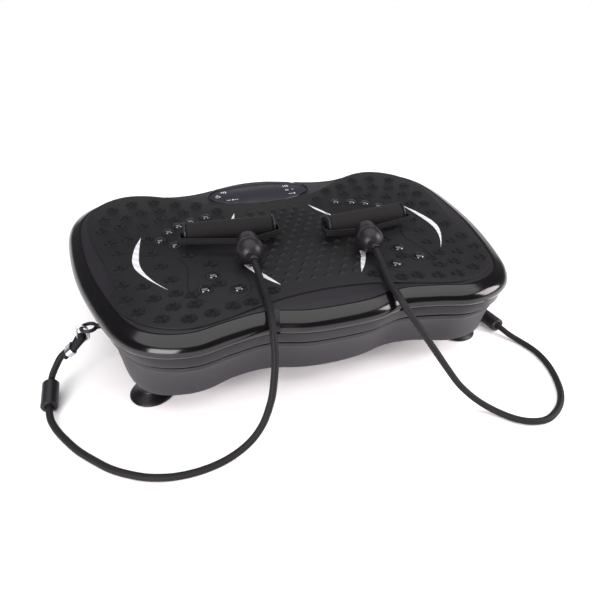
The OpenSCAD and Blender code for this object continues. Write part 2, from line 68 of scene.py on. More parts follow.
class Grain(Enum):
    """How a surface was made, which decides the relief its material carries."""

    MOULDED = "moulded"
    POLISHED = "polished"
    FOAM = "foam"
    BRAID = "braid"
    WOVEN = "woven"
    BRUSHED = "brushed"
    HATCHED = "hatched"


def linear(hex_colour: str) -> tuple[float, float, float, float]:
    """Turns an sRGB hex colour into Blender's linear values.

    Args:
        hex_colour: Six hex digits, with or without a leading hash.

    Returns:
        Red, green, blue and an alpha of 1.
    """
    digits = hex_colour.lstrip("#")
    parts = [int(digits[i : i + 2], 16) / 255 for i in (0, 2, 4)]
    return (*[p / 12.92 if p <= 0.04045 else ((p + 0.055) / 1.055) ** 2.4 for p in parts], 1.0)


def add_node(
    tree: bpy.types.NodeTree, kind: str, settings: dict[str, object] | None = None, **links: object
) -> bpy.types.Node:
    """Adds one shader node.

    Args:
        tree: The tree that gets the node.
        kind: The node's type, such as ShaderNodeTexNoise.
        settings: Node properties and socket values by name.
        **links: Output sockets, keyed by input name with underscores for spaces, or by in0 and in1
            where the inputs share a name.

    Returns:
        The new node.
    """
    node = tree.nodes.new(kind)
    for name, value in (settings or {}).items():
        if name in node.inputs:
            node.inputs[name].default_value = value
        else:
            setattr(node, name, value)
    for name, socket in links.items():
        key = int(name[2:]) if name.startswith("in") and name[2:].isdigit() else name.replace("_", " ")
        tree.links.new(socket, node.inputs[key])
    return node


@dataclass(frozen=True)
class Finish:
    """One real material and how it takes the light.

    Attributes:
        name: The material's common name and making.
        colour: Main sRGB colour.
        second: Colour it drifts to in patches; on braid and weave, the lighter colour painted on the raised
            thread crossings, with the darker main colour left between threads as painted shade.
        roughness: Mean roughness.
        grain: The kind of relief.
        grain_mm: Size of one grain, thread or scratch.
        relief_mm: Height of the relief.
        metallic: 1 for bare metal.
        ior: Index of refraction.
        coat: Weight of a clear glossy layer.
        sheen: Weight of the soft edge light that fibres and foam give.
        specular: Strength of the surface reflection, 0.5 for plain plastic.
    """

    name: str
    colour: str
    second: str
    roughness: float
    grain: Grain = Grain.MOULDED
    grain_mm: float = 1.2
    relief_mm: float = 0.03
    metallic: float = 0.0
    ior: float = 1.5
    coat: float = 0.0
    sheen: float = 0.0
    specular: float = 0.5

    def material(self) -> bpy.types.Material:
        """Builds the material once and returns it afterwards."""
        found = bpy.data.materials.get(self.name)
        if found is not None:
            return found
        made = bpy.data.materials.new(self.name)
        made.use_nodes = True
        tree = made.node_tree
        shader = tree.nodes["Principled BSDF"]
        shader.inputs["Metallic"].default_value = self.metallic
        shader.inputs["IOR"].default_value = self.ior
        shader.inputs["Coat Weight"].default_value = self.coat
        shader.inputs["Coat Roughness"].default_value = 0.04
        shader.inputs["Sheen Weight"].default_value = self.sheen
        shader.inputs["Sheen Roughness"].default_value = 0.5
        shader.inputs["Specular IOR Level"].default_value = self.specular
        place = add_node(tree, "ShaderNodeTexCoord")
        height = self._height(tree, place)
        drift = add_node(
            tree, "ShaderNodeTexNoise", {"Scale": 14.0, "Detail": 3.0}, Vector=place.outputs["Object"]
        )
        share = drift.outputs["Fac"]
        # Braid and weave take their colour from the relief height: the raised crossings are painted lighter
        # and the gaps stay dark as painted shade between threads. The hatch takes its printed lines from the
        # same height.
        if self.grain in (Grain.BRAID, Grain.WOVEN, Grain.HATCHED):
            share = height
        mix = add_node(tree, "ShaderNodeMix", {"data_type": "RGBA", "blend_type": "MIX"})
        tree.links.new(share, mix.inputs[0])
        mix.inputs[6].default_value = linear(self.colour)
        mix.inputs[7].default_value = linear(self.second)
        tree.links.new(mix.outputs[2], shader.inputs["Base Color"])
        rough = add_node(
            tree,
            "ShaderNodeMapRange",
            {"To Min": max(self.roughness - 0.05, 0.02), "To Max": min(self.roughness + 0.07, 1.0)},
            Value=drift.outputs["Fac"],
        )
        tree.links.new(rough.outputs["Result"], shader.inputs["Roughness"])
        bump = add_node(
            tree,
            "ShaderNodeBump",
            {"Strength": 0.5, "Distance": self.relief_mm * MM},
            Height=height,
        )
        tree.links.new(bump.outputs["Normal"], shader.inputs["Normal"])
        return made

    def _height(self, tree: bpy.types.NodeTree, place: bpy.types.Node) -> bpy.types.NodeSocket:
        """Adds the relief pattern of this grain.

        Args:
            tree: The material's tree.
            place: Its texture coordinate node.

        Returns:
            The socket that carries the height, from 0 to 1.
        """
        per_metre = 1 / (self.grain_mm * MM)
        where = place.outputs["Object"]
        if self.grain is Grain.FOAM:
            cells = add_node(tree, "ShaderNodeTexVoronoi", {"Scale": per_metre}, Vector=where)
            return cells.outputs["Distance"]
        if self.grain is Grain.BRUSHED:
            squeezed = add_node(
                tree, "ShaderNodeMapping", {"Scale": (per_metre, per_metre * 0.05, per_metre)}, Vector=where
            )
            lines = add_node(tree, "ShaderNodeTexNoise", {"Scale": 1.0}, Vector=squeezed.outputs[0])
            return lines.outputs["Fac"]
        if self.grain in (Grain.BRAID, Grain.WOVEN):
            # The UV map counts threads: one unit round and one unit along is one crossing
            split = add_node(tree, "ShaderNodeSeparateXYZ", Vector=place.outputs["UV"])
            across, along = split.outputs[0], split.outputs[1]
            up = add_node(tree, "ShaderNodeMath", {"operation": "ADD"}, in0=across, in1=along)
            down = add_node(tree, "ShaderNodeMath", {"operation": "SUBTRACT"}, in0=across, in1=along)
            waves = []
            for way in (up, down):
                turn = add_node(tree, "ShaderNodeMath", {"operation": "MULTIPLY"}, in0=way.outputs[0])
                turn.inputs[1].default_value = math.pi
                waves.append(
                    add_node(tree, "ShaderNodeMath", {"operation": "SINE"}, in0=turn.outputs[0]).outputs[0]
                )
            cross = add_node(tree, "ShaderNodeMath", {"operation": "MULTIPLY"}, in0=waves[0], in1=waves[1])
            level = add_node(
                tree, "ShaderNodeMapRange", {"From Min": -1.0, "From Max": 1.0}, Value=cross.outputs[0]
            )
            return level.outputs["Result"]
        if self.grain is Grain.HATCHED:
            lines = add_node(
                tree,
                "ShaderNodeTexWave",
                {"Scale": per_metre / 20, "bands_direction": "DIAGONAL"},
                Vector=where,
            )
            return lines.outputs["Fac"]
        specks = add_node(
            tree, "ShaderNodeTexNoise", {"Scale": per_metre, "Detail": 2.0}, Vector=where
        )
        return specks.outputs["Fac"]


# Injection-moulded ABS: fine spark texture, so the skirt scatters light evenly
SKIRT_ABS = Finish(
    "moulded ABS skirt", "#232126", "#29272c", 0.5, grain_mm=1.0, relief_mm=0.05, specular=0.25
)
# The same plastic from a smoother tool: a soft sheen on the top and flange
SATIN_ABS = Finish(
    "satin ABS", "#19171b", "#1d1b1f", 0.36, grain_mm=0.8, relief_mm=0.02, specular=0.25
)
# Piano-black lacquer over ABS: mirror coat with soft reflections
GLOSS_ABS = Finish(
    "lacquered ABS", "#070607", "#0a080a", 0.14, Grain.POLISHED, 30.0, 0.02, specular=0.4
)
# Calendered rubber sheet: matte, slightly uneven
MAT_RUBBER = Finish(
    "moulded rubber mat", "#111012", "#161517", 0.5, grain_mm=1.4, relief_mm=0.08, specular=0.2
)
# Natural rubber feet and belt: darker, with a dull shine
FOOT_RUBBER = Finish(
    "natural rubber", "#0c0b0d", "#111012", 0.38, grain_mm=1.5, relief_mm=0.03, specular=0.25
)
# Polished acrylic domes: near black, sharp highlight
DOME_ACRYLIC = Finish(
    "polished acrylic", "#0a0a0c", "#0d0c10", 0.1, Grain.POLISHED, 20.0, 0.005, coat=0.6
)
# Tinted acrylic window: faint violet, very smooth
WINDOW_ACRYLIC = Finish(
    "tinted acrylic", "#25232b", "#28252e", 0.25, Grain.POLISHED, 40.0, 0.005, specular=0.4
)
# Silver PVC film: metallic print with a fine hatch, drawn at 1.2 mm so that it shows
SILVER_FILM = Finish(
    "silver PVC film", "#e6e6ec", "#cfd0d8", 0.4, Grain.HATCHED, 1.2, 0.02, metallic=0.25
)
# White screen print for the display's symbols
WHITE_PRINT = Finish("white screen print", "#d4d2da", "#c6c4cc", 0.5, relief_mm=0.005)
# Closed-cell foam: small open pores at the skin, soft edge light
EVA_FOAM = Finish(
    "EVA foam", "#131213", "#181718", 0.8, Grain.FOAM, 1.1, 0.14, sheen=0.03, specular=0.15
)
# Braided polyester: crossing strands, one crossing per UV unit; painted lighter on the crossings and darker
# between the strands, painted shade in the gaps
BRAID = Finish(
    "braided polyester", "#060607", "#1c1b1d", 0.6, Grain.BRAID, relief_mm=0.35, specular=0.2
)
# Woven nylon strap: flat rib, tighter and duller than the rope; painted lighter on the crossings and darker
# between the threads, painted shade in the gaps
WEBBING = Finish(
    "woven nylon", "#0a0a0b", "#1d1c1e", 0.6, Grain.WOVEN, relief_mm=0.25, specular=0.2
)
# Cut rope end: the pale core fibres show
ROPE_CORE = Finish("cut polyester core", "#cfc39c", "#b9ab82", 0.85, grain_mm=0.8, relief_mm=0.1)
# Bright zinc plate: fine drawn lines
ZINC_STEEL = Finish(
    "zinc-plated steel", "#c9ccd2", "#aeb2b9", 0.28, Grain.BRUSHED, 0.8, 0.01, metallic=1.0
)
# Ground steel shafts: smooth, a little darker
GROUND_STEEL = Finish(
    "ground steel", "#a9acb2", "#9a9da4", 0.2, Grain.BRUSHED, 0.6, 0.005, metallic=1.0
)
# Turned aluminium pulleys
ALUMINIUM = Finish(
    "turned aluminium", "#d2d4d8", "#c2c4c9", 0.3, Grain.BRUSHED, 0.8, 0.01, metallic=1.0
)
# Sintered bronze bushes
BRONZE = Finish("sintered bronze", "#a9803f", "#94703a", 0.42, grain_mm=0.8, metallic=1.0)
# Enamelled motor can
MOTOR_ENAMEL = Finish("motor enamel", "#4a4d53", "#43464c", 0.4, grain_mm=1.5, relief_mm=0.03)
# Solder mask on epoxy board
SOLDER_MASK = Finish("green solder mask", "#1d5a3a", "#184d31", 0.35, grain_mm=2.0, relief_mm=0.02)
# Red switch cap
RED_ABS = Finish("red ABS", "#a8201f", "#96201d", 0.3, grain_mm=2.0, relief_mm=0.01)
# Painted white floor of the studio
STUDIO_FLOOR = Finish("white studio floor", "#ffffff", "#fdfdfd", 0.9, relief_mm=0.001)

CAD_FINISHES: dict[str, Finish] = {
    "base_frame": ZINC_STEEL,
    "pivot_brackets": ZINC_STEEL,
    "pivot_shaft": GROUND_STEEL,
    "bump_stops": FOOT_RUBBER,
    "motor_mount": ZINC_STEEL,
    "motor": MOTOR_ENAMEL,
    "motor_pulley": ALUMINIUM,
    "drive_belt": FOOT_RUBBER,
    "shaft_pulley": ALUMINIUM,
    "eccentric_shaft": GROUND_STEEL,
    "bearing_blocks": ZINC_STEEL,
    "ball_bearings": GROUND_STEEL,
    "control_board": SOLDER_MASK,
    "rear_panel": SATIN_ABS,
    "power_inlet": SATIN_ABS,
    "switch_rocker": RED_ABS,
    "case_screws": ZINC_STEEL,
    "foot_bolts": ZINC_STEEL,
    "rope_anchors": SATIN_ABS,
    "rope_links": ZINC_STEEL,
    "deck_frame": ZINC_STEEL,
    "pivot_bushes": BRONZE,
    "deck_screws": ZINC_STEEL,
    "con_rod": ZINC_STEEL,
    "con_rod_pin": GROUND_STEEL,
    "display_board": SOLDER_MASK,
    "left_core": SATIN_ABS,
    "right_core": SATIN_ABS,
    "left_crimp": ZINC_STEEL,
    "right_crimp": ZINC_STEEL,
    "left_adjuster": SATIN_ABS,
    "right_adjuster": SATIN_ABS,
}


# ---- shapes -----------------------------------------------------------------------------------

RIM_HALF = [
    (0, -201), (36, -199), (72, -190), (106, -195), (140, -203), (171, -198), (196, -183),
    (214, -158), (227, -125), (238, -90), (248, -52), (256, -10), (262, 36), (265, 80), (262, 116),
    (250, 148), (230, 171), (204, 185), (176, 189), (147, 182), (120, 174), (92, 176), (60, 188),
    (30, 199), (0, 203),
]
BASE_HALF = [
    (0, -173), (34, -170), (70, -161), (104, -164), (137, -175), (165, -174), (188, -164),
    (203, -145), (212, -117), (218, -83), (224, -47), (229, -7), (234, 36), (235, 78), (232, 110),
    (222, 136), (206, 154), (184, 163), (162, 165), (138, 160), (116, 153), (90, 154), (58, 162),
    (29, 170), (0, 173),
]
MAT_HALF = [
    (0, -153), (44, -157), (80, -167), (112, -177), (141, -182), (168, -174), (190, -157),
    (206, -129), (212, -100), (213, -72), (217, -38), (226, 0), (236, 45), (241, 85), (239, 116),
    (230, 145), (212, 167), (188, 177), (160, 171), (132, 154), (104, 132), (76, 112), (40, 100),
    (0, 95),
]


def whole(half: Sequence[tuple[float, float]]) -> np.ndarray:
    """Mirrors a right half, from the front centre to the back centre, into a closed outline."""
    return np.array(list(half) + [(-x, y) for x, y in half[-2:0:-1]], float)


def curve_at(points: np.ndarray, at: np.ndarray, closed: bool = True) -> np.ndarray:
    """Smooth curve through points.

    Args:
        points: The points, one a row.
        at: Places along it, in points from the first.
        closed: Whether the last point joins the first.

    Returns:
        One row for each place.
    """
    n = len(points)
    i = np.floor(at).astype(int)
    if not closed:
        i = np.clip(i, 0, n - 2)
    t = (at - i)[:, None]
    pick = (lambda k: points[k % n]) if closed else (lambda k: points[np.clip(k, 0, n - 1)])
    p, q, r, s = pick(i - 1), pick(i), pick(i + 1), pick(i + 2)
    return 0.5 * (
        2 * q + (r - p) * t + (2 * p - 5 * q + 4 * r - s) * t**2 + (3 * q - p - 3 * r + s) * t**3
    )


def left_of(points: np.ndarray, at: np.ndarray) -> np.ndarray:
    """Unit vectors to the left of a closed curve's direction, which is inward on an outline."""
    d = curve_at(points, at + 0.02) - curve_at(points, at - 0.02)
    d /= np.linalg.norm(d, axis=1)[:, None]
    return np.stack([-d[:, 1], d[:, 0]], 1)


def finer(points: Sequence[Sequence[float]], steps: int) -> np.ndarray:
    """An open curve through points with steps between each two."""
    P = np.array(points, float)
    return curve_at(P, np.linspace(0, len(P) - 1, (len(P) - 1) * steps + 1), closed=False)


def make_piece(
    name: str,
    verts: np.ndarray,
    faces: list[tuple[int, ...]],
    finish: Finish,
    sharp_deg: float = 35.0,
) -> bpy.types.Object:
    """Makes a mesh object with one finish and smooth shading up to an angle.

    Args:
        name: The piece's name.
        verts: Corners in millimetres.
        faces: Corner numbers of each face.
        finish: What it is made of.
        sharp_deg: Edges sharper than this stay crisp.

    Returns:
        The object, in metres.
    """
    mesh = bpy.data.meshes.new(name)
    mesh.from_pydata([tuple(v) for v in np.asarray(verts) * MM], [], faces)
    mesh.validate()
    mesh.update()
    mesh.shade_smooth()
    mesh.set_sharp_from_angle(angle=math.radians(sharp_deg))
    mesh.materials.append(finish.material())
    obj = bpy.data.objects.new(name, mesh)
    bpy.context.scene.collection.objects.link(obj)
    return obj


def skin(rings: Sequence[np.ndarray], caps: bool = True, around: bool = False) -> tuple[np.ndarray, list]:
    """Joins rings of equal size into a skin.

    Args:
        rings: Closed rings of points, anticlockwise seen against their order.
        caps: Whether to close the first and last ring.
        around: Whether the last ring joins the first.

    Returns:
        Corners and faces.
    """
    n, m = len(rings[0]), len(rings)
    faces: list[tuple[int, ...]] = []
    for j in range(m if around else m - 1):
        for i in range(n):
            a, b = j * n + i, j * n + (i + 1) % n
            up = ((j + 1) % m) * n - j * n
            faces.append((a, b, b + up, a + up))
    if caps and not around:
        faces.append(tuple(range(n - 1, -1, -1)))
        faces.append(tuple((m - 1) * n + i for i in range(n)))
    return np.concatenate([np.asarray(r) for r in rings]), faces


def lathe(
    profile: Sequence[Sequence[float]], sides: int = 48, hollow: bool = False
) -> tuple[np.ndarray, list]:
    """Turns a profile round the Z axis.

    Args:
        profile: Points of (radius, height).
        sides: Corners in one turn.
        hollow: Whether the last point joins the first, which leaves a bore.

    Returns:
        Corners and faces.
    """
    a = np.linspace(0, 2 * math.pi, sides, endpoint=False)
    rings = [np.stack([r * np.cos(a), r * np.sin(a), np.full(sides, float(z))], 1) for r, z in profile]
    return skin(rings, around=hollow)


def joined(parts: Sequence[tuple[np.ndarray, list]]) -> tuple[np.ndarray, list]:
    """Puts several meshes into one list of corners and faces."""
    verts, faces, start = [], [], 0
    for v, f in parts:
        verts.append(v)
        faces += [tuple(i + start for i in face) for face in f]
        start += len(v)
    return np.concatenate(verts), faces


def at_height(outline: np.ndarray, z: float) -> np.ndarray:
    """A flat outline lifted to height z."""
    return np.column_stack([outline, np.full(len(outline), z)])


def slab(outline: np.ndarray, low: float, high: float, bevel: float = 0.0) -> tuple[np.ndarray, list]:
    """A flat plate with an optional small rounded top edge."""
    rings = [at_height(outline, low), at_height(outline, high - bevel)]
    if bevel:
        d = np.roll(outline, -1, 0) - np.roll(outline, 1, 0)
        d /= np.linalg.norm(d, axis=1)[:, None]
        inward = np.stack([-d[:, 1], d[:, 0]], 1)
        rings += [
            at_height(outline + inward * bevel * 0.3, high - bevel * 0.3),
            at_height(outline + inward * bevel, high),
        ]
    return skin(rings)


def tube_rings(path: np.ndarray, radius: float, sides: int, up: Sequence[float]) -> list[np.ndarray]:
    """Rings square to a path, carried along it without twist."""
    t = np.gradient(path, axis=0)
    t /= np.linalg.norm(t, axis=1)[:, None]
    u = np.array(up, float)
    a = np.linspace(0, 2 * math.pi, sides, endpoint=False)
    rings = []
    for p, d in zip(path, t):
        u = u - d * (u @ d)
        u /= np.linalg.norm(u)
        v = np.cross(d, u)
        rings.append(p + radius * (np.cos(a)[:, None] * u + np.sin(a)[:, None] * v))
    return rings


def thread_map(obj: bpy.types.Object, sides: int, path: np.ndarray, around: float, pitch: float) -> None:
    """Gives a tube a UV map that counts its braid's crossings.

    Args:
        obj: The tube, whose corners run ring by ring.
        sides: Corners in one ring.
        path: Its centre line in millimetres.
        around: Crossings round the tube.
        pitch: Length of one crossing in millimetres.
    """
    run = np.concatenate([[0], np.cumsum(np.linalg.norm(np.diff(path, axis=0), axis=1))])
    layer = obj.data.uv_layers.new(name="threads")
    for poly in obj.data.polygons:
        ks = [obj.data.loops[i].vertex_index for i in poly.loop_indices]
        wraps = max(k % sides for k in ks) - min(k % sides for k in ks) > sides // 2
        for i, k in zip(poly.loop_indices, ks):
            side = k % sides + (sides if wraps and k % sides < sides // 2 else 0)
            layer.data[i].uv = (side / sides * around, run[min(k // sides, len(run) - 1)] / pitch)


# ---- sub-assemblies ---------------------------------------------------------------------------


@dataclass
class Base:
    """Skirt shell and suction feet."""

    foot_places: tuple[tuple[float, float], ...] = ((190, -121), (-190, -121), (204, 124), (-204, 124))
    skirt: tuple[tuple[float, float], ...] = (
        (36.5, 0), (44, 0.12), (52, 0.28), (60, 0.45), (67, 0.64), (72, 0.79), (74.6, 0.87), (75.6, 0.92),
        (76.6, 0.955), (78.5, 0.98), (81, 1),
    )
    wall: float = 3.0
    top_inset: float = 10.0

    def line(self, share: float, inset: float, at: np.ndarray) -> np.ndarray:
        """The skirt's outline at a share of the way from its foot to the rim's line."""
        rim, foot = whole(RIM_HALF), whole(BASE_HALF)
        top = curve_at(rim, at) + self.top_inset * left_of(rim, at)
        mixed = share * top + (1 - share) * curve_at(foot, at)
        return mixed + inset * left_of(foot, at)

    def build(self) -> None:
        """Builds the shell with its rear opening, and the feet."""
        at = np.arange(0, 48, 1 / 8)
        rings = [at_height(self.line(0, 2.2, at), 34), at_height(self.line(0, 0.7, at), 34.7)]
        rings += [at_height(self.line(s, 0, at), z) for z, s in self.skirt]
        rings += [at_height(self.line(s, self.wall, at), max(z, 37)) for z, s in self.skirt[::-1]]
        shell = make_piece("skirt_shell", *skin(rings), SKIRT_ABS, 40)
        panel = np.array([(-36, 146), (36, 146), (36, 206), (-36, 206)], float)
        cutter = make_piece("opening", *slab(panel, 42, 73), SKIRT_ABS)
        cut = shell.modifiers.new("opening", "BOOLEAN")
        cut.object, cut.solver = cutter, "EXACT"
        graph = bpy.context.evaluated_depsgraph_get()
        shell.data = bpy.data.meshes.new_from_object(shell.evaluated_get(graph))
        shell.modifiers.clear()
        bpy.data.objects.remove(cutter)
        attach(shell, "base")
        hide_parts("bottom_shell")
        cup = [(0.2, 2.2), (12, 2.6), (18.5, 1.3), (22.2, 0.1), (24, 1), (22.6, 3), (17, 6.4), (13.2, 9.4)]
        stem = [(12.4, 11), (12.4, 14.6), (11.4, 15.8), (9.2, 16.6), (9, 18), (9, 34), (0.2, 34)]
        profile = finer(cup, 4).tolist() + stem
        cups = []
        for x, y in self.foot_places:
            v, f = lathe(profile, 64)
            cups.append((v + np.array([x, y, 0]), f))
        feet = make_piece("suction_cups", *joined(cups), FOOT_RUBBER, 40)
        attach(feet, "base")
        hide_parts("suction_feet")
        log.info("base: skirt shell and %d suction feet", len(self.foot_places))


@dataclass
class Deck:
    """Moulded top, gloss trims, mat with its relief, domes, inlays and display."""

    top: float = 116.0
    mat_top: float = 118.0
    trim_t: float = 2.0
    roll: tuple[tuple[float, float], ...] = (
        (4.5, 96.5), (1, 100), (0, 104), (1.2, 108), (5, 112), (12, 115), (15, 116),
    )
    trims: dict[str, tuple[float, float]] = field(
        default_factory=lambda: {
            "front_trim": (-1.74, 1.74),
            "right_trim": (1.93, 21.7),
            "rear_trim": (21.92, 26.08),
            "left_trim": (26.3, 46.07),
        }
    )
    under_trim: float = 2.8
    domes: tuple[tuple[float, float], ...] = (
        (92, 64), (113, 56), (129.5, 46), (143, 31), (155, 8), (139, -9),
        (109, -95), (121.5, -121), (88.5, -129),
    )
    suns: tuple[tuple[float, float], ...] = (
        (100, -159), (121, -165), (143, -168), (134.5, -145), (155, -143), (167.5, -161), (188.5, -143),
        (150, -119), (172, -122.5), (199, -116), (152, -90), (180.5, -95.5), (201, -86), (125, 126),
        (153, 144.5), (183.5, 145), (210, 130), (147, 109), (172, 108.5), (192.5, 95.5), (220.5, 99),
        (118, 93), (151, 76.5), (200.5, 66), (173, 63), (222.5, 62), (193, 29), (212.5, 23), (204, -10),
        (105, -113), (107, -68), (128, -40), (133, 70), (202, -48), (167.5, -23), (160, -57), (168.5, 19),
        (97, 114), (73, 85), (82, -157), (55.5, -142), (135, -127),
    )

    def build(self) -> None:
        """Builds every piece of the deck."""
        self._cover()
        for name, (start, end) in self.trims.items():
            self._trim(name, start, end)
        self._mat()
        self._domes()
        self._inlays()
        self._display()

    def _inset(self, d: float, at: np.ndarray) -> np.ndarray:
        """The rim's outline moved in by d."""
        rim = whole(RIM_HALF)
        return curve_at(rim, at) + d * left_of(rim, at)

    def _cover(self) -> None:
        """The moulded top with its thin flange."""
        at = np.arange(0, 48, 1 / 8)
        inside = [(26, 113), (14, 108), (16, 84.5), (12, 84.5)]
        flange = [(8.2, 84.6), (6.4, 85.2), (5.4, 86.6), (4.5, 96.2), (4.8, 96.5)]
        stack = inside + flange + [(d + self.under_trim, z) for d, z in finer(self.roll, 4)]
        rings = [at_height(self._inset(d, at), z) for d, z in stack]
        cover = make_piece("moulded_top", *skin(rings), SATIN_ABS, 40)
        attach(cover, "deck")
        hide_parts("top_cover")

    def _trim(self, name: str, start: float, end: float) -> None:
        """One lacquered moulding along part of the rim."""
        at = np.linspace(start, end, int((end - start) * 8) + 1)
        outer = finer(self.roll, 5)
        section = np.concatenate([outer, outer[::-1] + np.array([self.trim_t, 0])])
        rim = whole(RIM_HALF)
        line, side = curve_at(rim, at), left_of(rim, at)
        rings = [
            np.column_stack([p + section[:, :1] * n, section[:, 1]]) for p, n in zip(line, side)
        ]
        trim = make_piece(name + "_lacquer", *skin([r[::-1] for r in rings]), GLOSS_ABS, 50)
        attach(trim, "deck")
        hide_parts(name)

    def _mat(self) -> None:
        """The rubber mat, its sun and pyramid relief and its thin foot lines, all one moulding."""
        outline = curve_at(whole(MAT_HALF), np.arange(0, 46, 1 / 6))
        parts = [slab(outline, self.top, self.mat_top, 0.7)]
        for x, y in self.suns:
            for s in (1, -1):
                parts += self._sun(s * x, y)
        for row in range(14):
            for col in range(-4, 5):
                x, y = col * 16 + (row % 2) * 8, 66 - row * 15
                if self._in_middle(x, y):
                    parts.append(self._pyramid(x, y))
        for s in (1, -1):
            parts += self._foot_line(s)
        mat = make_piece("relief_mat", *joined(parts), MAT_RUBBER, 30)
        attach(mat, "deck")
        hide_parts("rubber_mat")

    def _in_middle(self, x: float, y: float) -> bool:
        """Whether a pyramid belongs here, between the two inner inlays."""
        half = np.interp(y, [-140, -134, -80, -44, 20, 68, 75], [50, 40, 66, 74, 62, 44, 40])
        return abs(x) < half and y > -146

    def _sun(self, x: float, y: float) -> list[tuple[np.ndarray, list]]:
        """One small disc with twelve raised rays."""
        a = np.linspace(0, 2 * math.pi, 24, endpoint=False)
        disc = np.stack([7.8 * np.cos(a), 7.8 * np.sin(a)], 1) + (x, y)
        parts = [slab(disc, self.mat_top - 0.2, self.mat_top + 0.3, 0.3)]
        for k in range(12):
            t = math.radians(30 * k + 12)
            c, s = math.cos(t), math.sin(t)
            rib = np.array([(2.2, -0.35), (7.0, -1.25), (7.0, 1.25), (2.2, 0.35)])
            rib = rib @ np.array([[c, s], [-s, c]]) + (x, y)
            parts.append(slab(rib, self.mat_top, self.mat_top + 1.2, 0.3))
        return parts

    def _pyramid(self, x: float, y: float) -> tuple[np.ndarray, list]:
        """One three-sided pyramid, point to the back."""
        z = self.mat_top
        v = np.array([(x, y + 5.4, z), (x - 4.8, y - 3.2, z), (x + 4.8, y - 3.2, z), (x, y - 0.4, z + 2.6)])
        return v, [(0, 1, 3), (1, 2, 3), (2, 0, 3), (0, 2, 1)]

    def _foot_line(self, s: int) -> list[tuple[np.ndarray, list]]:
        """The thin raised outlines where the feet go."""
        loops = [
            [(70, 62), (66, 35), (72, 0), (80, -40), (78, -75), (74, -110), (78, -138), (98, -150),
             (122, -144), (136, -124), (136, -98), (132, -70), (140, -42), (160, -22)],
        ]
        parts = []
        for loop in loops:
            path = finer([(s * x, y, self.mat_top + 0.1) for x, y in loop], 5)
            parts.append(skin(tube_rings(path, 0.5, 6, (0, 0, 1))))
        return parts

    def _domes(self) -> None:
        """Polished domes, and the scalloped rubber collar round each."""
        glossy, collars = [], []
        side = [(4.2, 116.1), (4.4, 117.6), (6, 118.6), (5.8, 119.8), (4.8, 121.0), (3, 121.8), (0.15, 122)]
        profile = np.vstack([[0.15, 116.0], finer(side, 3)])
        a = np.linspace(0, 2 * math.pi, 96, endpoint=False)
        for x, y in self.domes:
            for s in (1, -1):
                v, f = lathe(profile.tolist(), 40)
                glossy.append((v + np.array([s * x, y, 0]), f))
                r = 8.6 + 0.55 * np.sign(np.sin(14 * a)) * np.abs(np.sin(14 * a)) ** 0.5
                star = np.stack([r * np.cos(a), r * np.sin(a)], 1) + (s * x, y)
                collars.append(slab(star, 117.6, 119.1, 0.5))
        domes = make_piece("polished_domes", *joined(glossy), DOME_ACRYLIC, 50)
        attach(domes, "deck")
        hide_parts("massage_domes")
        rings = make_piece("dome_collars", *joined(collars), MAT_RUBBER, 30)
        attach(rings, "deck")

    def _inlays(self) -> None:
        """The silver boomerangs beside each foot."""
        outer = [(176.5, 26), (184, 2), (188.5, -25), (188.5, -44), (184, -62), (172, -86), (157, -109)]
        inner = [(157, -109), (170, -86), (178.5, -63), (181.5, -45), (181.5, -27), (179.5, 0), (176.5, 26)]
        back_out = [(52.5, 67.5), (60, 50), (68, 30), (75, 8)]
        back_in = [(75, 8), (66, 26), (57, 47), (52.5, 67.5)]
        low_out = [(72, -81), (66, -98), (56, -118), (45, -134)]
        low_in = [(45, -134), (52, -116), (60, -98), (66, -78)]
        parts = []
        for loop in (
            np.vstack([finer(outer, 5), finer(inner, 5)[1:-1]]),
            np.vstack([finer(back_out, 4), finer(back_in, 4)[1:-1]]),
            np.vstack([finer(low_out, 4), finer(low_in, 4)[1:]]),
        ):
            for s in (1, -1):
                flat = loop * (s, 1)
                area = np.sum(flat[:, 0] * np.roll(flat[:, 1], -1) - np.roll(flat[:, 0], -1) * flat[:, 1])
                parts.append(slab(flat if area > 0 else flat[::-1], 117.2, 118.25))
        film = make_piece("silver_boomerangs", *joined(parts), SILVER_FILM)
        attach(film, "deck")
        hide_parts("arrow_inlays")

    def _display(self) -> None:
        """The oval window, its raised rim and the printed symbols."""
        a = np.linspace(0, 2 * math.pi, 144, endpoint=False)

        def oval(grow: float) -> np.ndarray:
            """The display's outline, moved out by grow."""
            return np.stack([(77 + grow) * np.cos(a), 141 + (41 + grow) * np.sin(a)], 1)

        window = make_piece("display_glass", *slab(oval(-3.8), 112.5, 116.3, 0.2), WINDOW_ACRYLIC)
        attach(window, "deck")
        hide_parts("display_window")
        crown = [(0, 115.9), (-0.3, 116.6), (-1.2, 117), (-2.4, 116.9), (-3.6, 116.2)]
        section = crown + [(-3.6, 113), (-1.8, 111), (-1.8, 115.9)]
        rings = [at_height(oval(grow), z) for grow, z in section]
        rim = make_piece("display_rim", *skin(rings, around=True), GLOSS_ABS, 50)
        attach(rim, "deck")
        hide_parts("display_bezel")
        marks = [self._ring_mark(-62, 139), self._bar(-62, 143.5, 0.7, 2.4)]
        for x, y in ((-51, 155), (45, 155)):
            marks += [self._bar(x - 3 + 3 * k, y, 0.7, 2.0 + k) for k in range(3)]
        for x, y in ((-49, 122), (44, 122)):
            marks += [self._bar(x, y, 3.2, 0.6), self._bar(x + 6, y, 1.2, 1.8)]
        marks += [self._ring_mark(43, 138, 2.6), self._bar(-38, 122, 2.6, 0.6), self._bar(52, 139, 1.6, 0.6)]
        symbols = make_piece("display_symbols", *joined(marks), WHITE_PRINT)
        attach(symbols, "deck")

    def _bar(self, x: float, y: float, w: float, h: float) -> tuple[np.ndarray, list]:
        """A printed bar of half sizes w and h."""
        box = np.array([(x - w, y - h), (x + w, y - h), (x + w, y + h), (x - w, y + h)], float)
        return slab(box, 116.25, 116.42)

